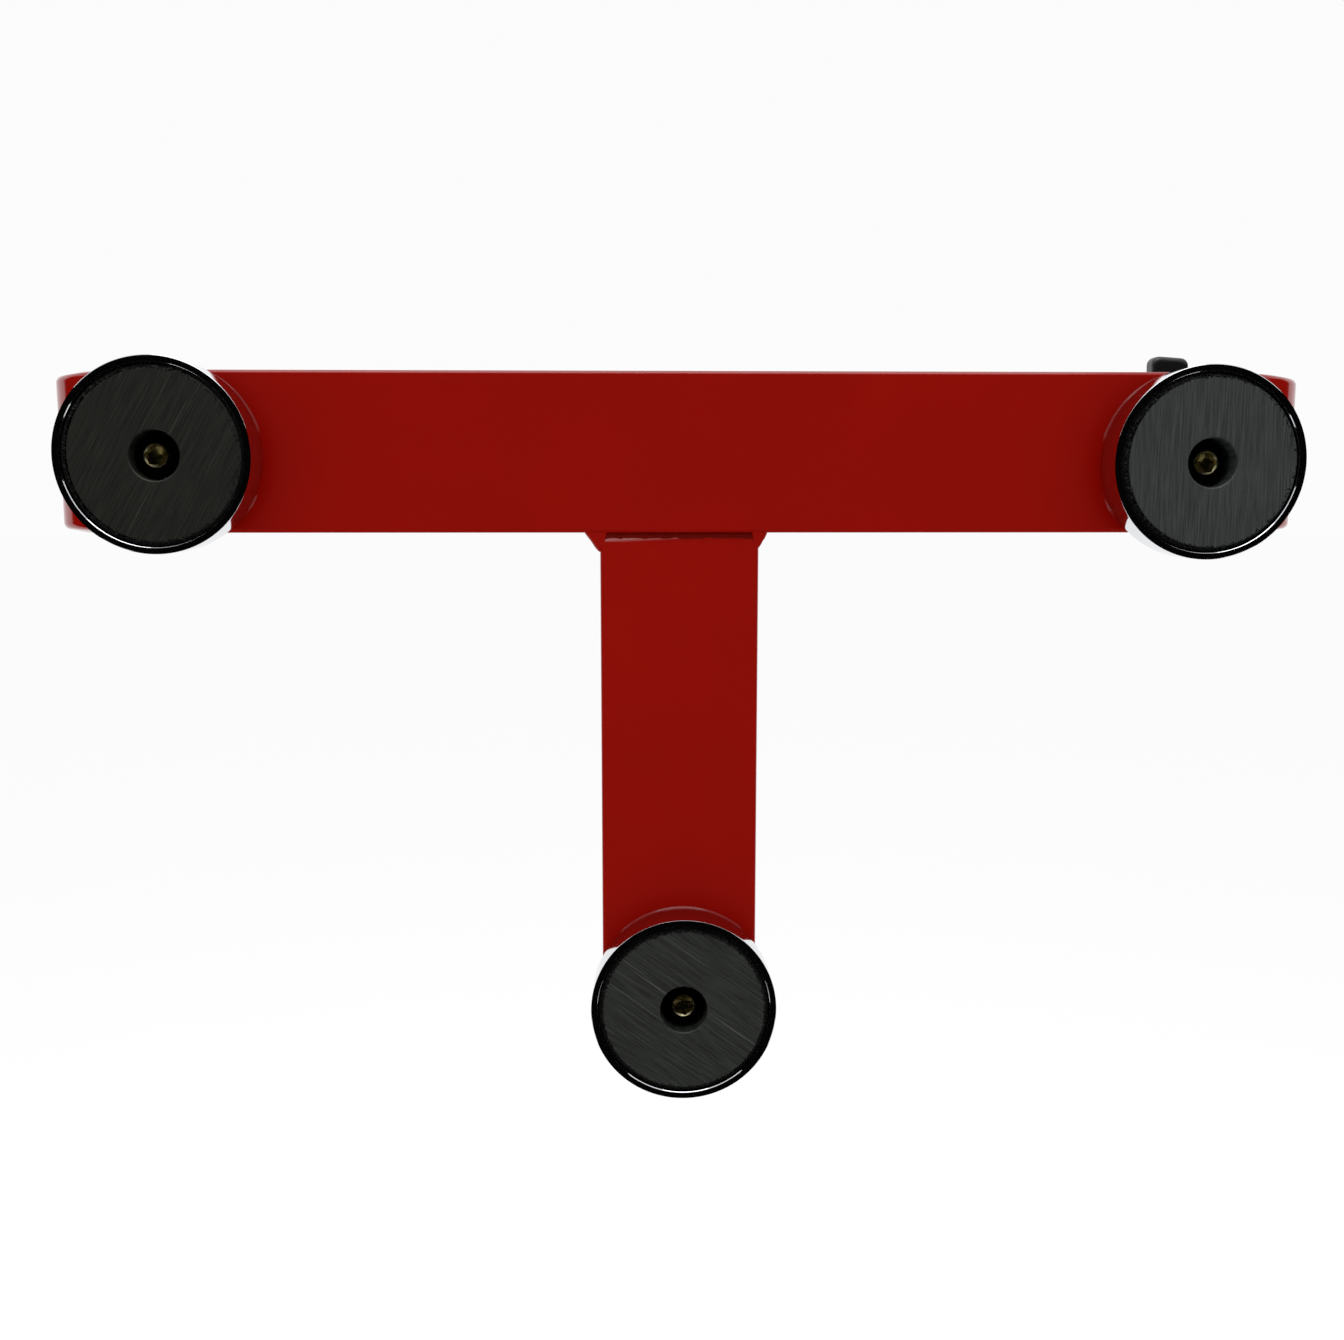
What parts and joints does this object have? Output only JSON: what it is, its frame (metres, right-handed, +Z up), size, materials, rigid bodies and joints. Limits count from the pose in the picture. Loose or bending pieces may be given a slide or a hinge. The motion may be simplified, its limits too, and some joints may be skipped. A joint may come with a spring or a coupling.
{
  "type": "magnetic wall bracket",
  "caption": "T-shaped bent flat-steel cradle bracket on pot magnets, with a lever nut on one end; it holds a hand truck on a steel wall.",
  "frame": {"origin": "on the steel wall's plane, in line with the centre of the crossbar's width and length", "axes": "+X to the right along the crossbar, +Y away from the wall, +Z up; the stem hangs down"},
  "size_m": [0.41, 0.062, 0.2418],
  "materials": {
    "red_paint": "glossy red powder coat",
    "chrome_plate": "bright chrome plate",
    "ferrite": "ground hard ferrite",
    "potting_resin": "black epoxy, rough",
    "zinc_screw": "black oxide with bright worn socket",
    "zinc_hardware": "bright zinc plate",
    "nylon": "natural nylon",
    "spring_steel": "drawn spring wire",
    "black_nylon": "moulded glass-filled nylon, fine texture"
  },
  "bodies": {
    "root": {"crossbar": "red_paint", "stem": "red_paint", "groove_weld_front": "red_paint", "groove_weld_back": "red_paint", "toe_weld_left": "red_paint", "toe_weld_right": "red_paint", "left_cup": "chrome_plate", "left_ferrite": "ferrite", "left_potting": "potting_resin", "left_screw": "zinc_screw", "right_cup": "chrome_plate", "right_ferrite": "ferrite", "right_potting": "potting_resin", "right_screw": "zinc_screw", "lower_cup": "chrome_plate", "lower_ferrite": "ferrite", "lower_potting": "potting_resin", "lower_screw": "zinc_screw", "left_washer": "zinc_hardware", "left_nut": "zinc_hardware", "left_nut_ring": "nylon", "lower_washer": "zinc_hardware", "lower_nut": "zinc_hardware", "lower_nut_ring": "nylon"},
    "lever_thrust": {"lever_washer": "zinc_hardware"},
    "lever_thread": {"lever_hub": "zinc_hardware", "lever_retainer": "zinc_hardware"},
    "lever_catch": {"lever_spring": "spring_steel"},
    "lever_arm": {"lever_handle": "black_nylon"}
  },
  "joints": [
    {"name": "clamp_travel", "type": "slide", "parent": "root", "child": "lever_thrust", "axis": [0, 1, 0], "range_m": [0, 0.0025]},
    {"name": "hub_turn", "type": "hinge", "parent": "lever_thrust", "child": "lever_thread", "pos_m": [0.1625, 0.0236, -0.0034], "axis": [0, 1, 0], "range_deg": [0, 720]},
    {"name": "lever_lift", "type": "slide", "parent": "lever_thrust", "child": "lever_catch", "axis": [0, 1, 0], "range_m": [0, 0.0025], "stiffness_N_per_m": 900, "springref_m": -0.003},
    {"name": "lever_swing", "type": "hinge", "parent": "lever_catch", "child": "lever_arm", "pos_m": [0.1625, 0.0405, -0.0034], "axis": [0, 1, 0], "range_deg": [-242, 54]}
  ],
  "couplings": [
    {"joint": "clamp_travel", "follows": "hub_turn", "m_per_rad": 0.00019894}
  ]
}
